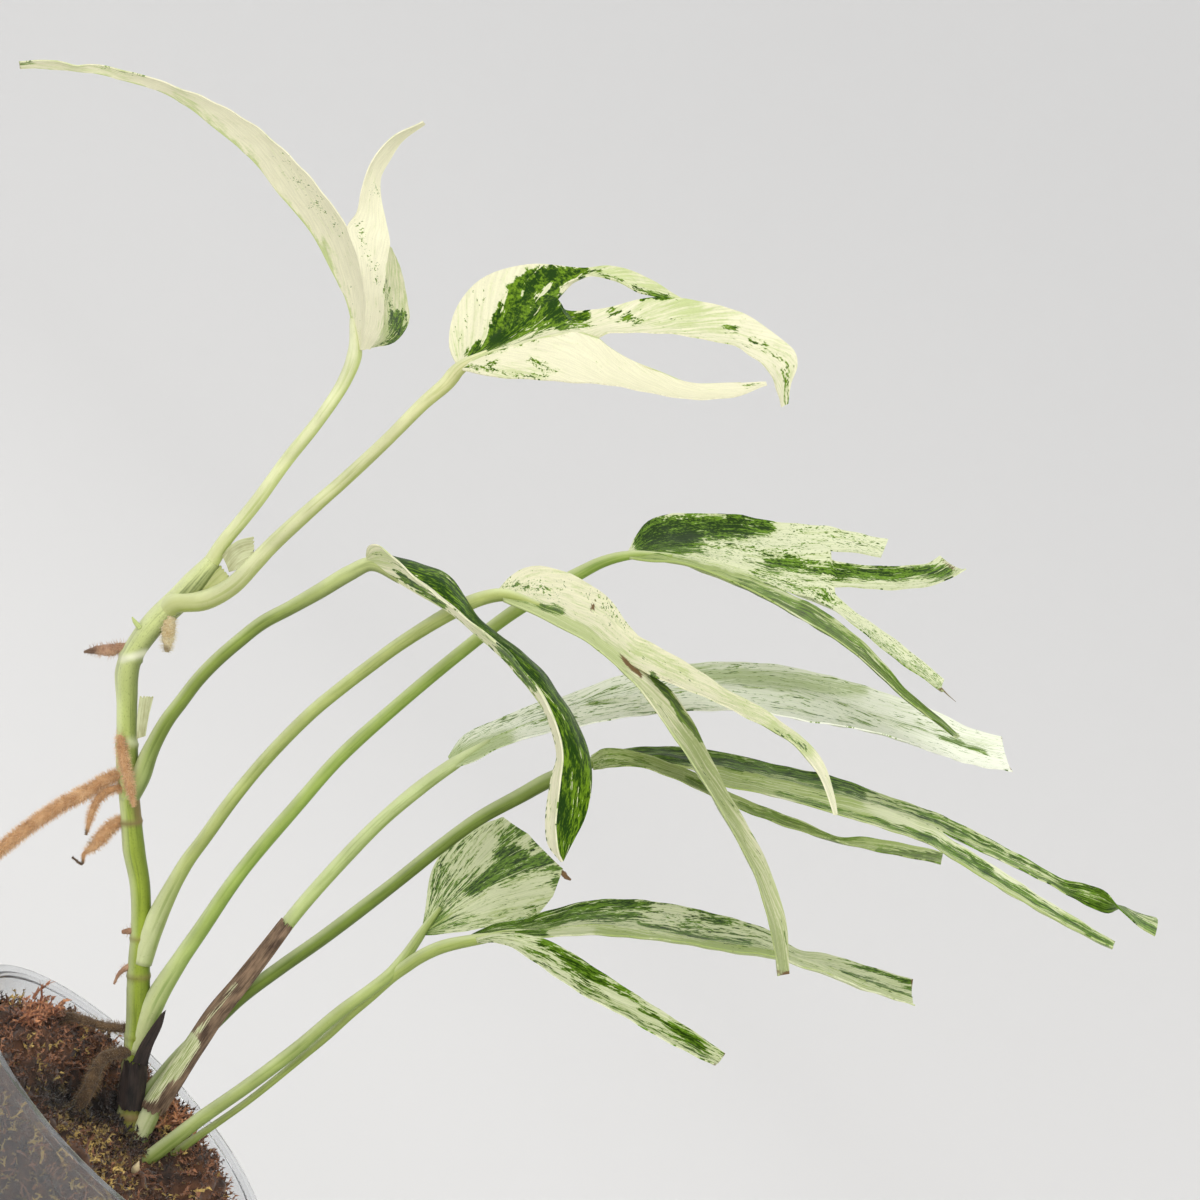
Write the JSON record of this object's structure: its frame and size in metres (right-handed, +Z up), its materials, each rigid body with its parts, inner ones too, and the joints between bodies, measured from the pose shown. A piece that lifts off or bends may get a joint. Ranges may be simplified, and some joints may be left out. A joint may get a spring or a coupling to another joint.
{
  "type": "potted variegated amydrium zippelianum",
  "caption": "Leggy climbing aroid with long-stalked, lobed, cream and green variegated leaves, standing in moss in a clear nursery pot.",
  "frame": {"origin": "centre of the pot's flat base", "axes": "+Z up along the pot's axis; the leaves spread mostly towards +X, and -Y faces the viewer of the picture"},
  "size_m": [0.416, 0.1345, 0.4094],
  "materials": {
    "clear_plastic": "satin",
    "green_stem": "satin",
    "cream_leaf": "satin",
    "half_green_leaf": "satin",
    "pale_leaf": "satin",
    "green_streaked_leaf": "satin",
    "aerial_root": "matte",
    "dry_sheath": "matte",
    "black_sheath": "matte",
    "papery_sheath": "satin",
    "sphagnum": "matte"
  },
  "bodies": {
    "root": {"pot": "clear_plastic", "stem": "green_stem", "leaf_a": "cream_leaf", "leaf_b": "half_green_leaf", "leaf_c": "half_green_leaf", "leaf_d": "cream_leaf", "leaf_e": "half_green_leaf", "leaf_f": "pale_leaf", "leaf_g": "green_streaked_leaf", "leaf_h": "green_streaked_leaf", "leaf_i": "pale_leaf", "root_top_tip": "aerial_root", "root_top_stub": "aerial_root", "root_on_stem": "aerial_root", "root_long": "aerial_root", "root_branch": "aerial_root", "root_fork": "aerial_root", "root_collar_stub": "aerial_root", "root_collar_hook": "aerial_root", "root_into_mound": "aerial_root", "root_into_hollow": "aerial_root", "sheath_petiole_f": "dry_sheath", "sheath_stem_foot": "black_sheath", "sheath_top": "papery_sheath", "sheath_axil_c": "papery_sheath", "moss": "sphagnum"}
  },
  "joints": []
}
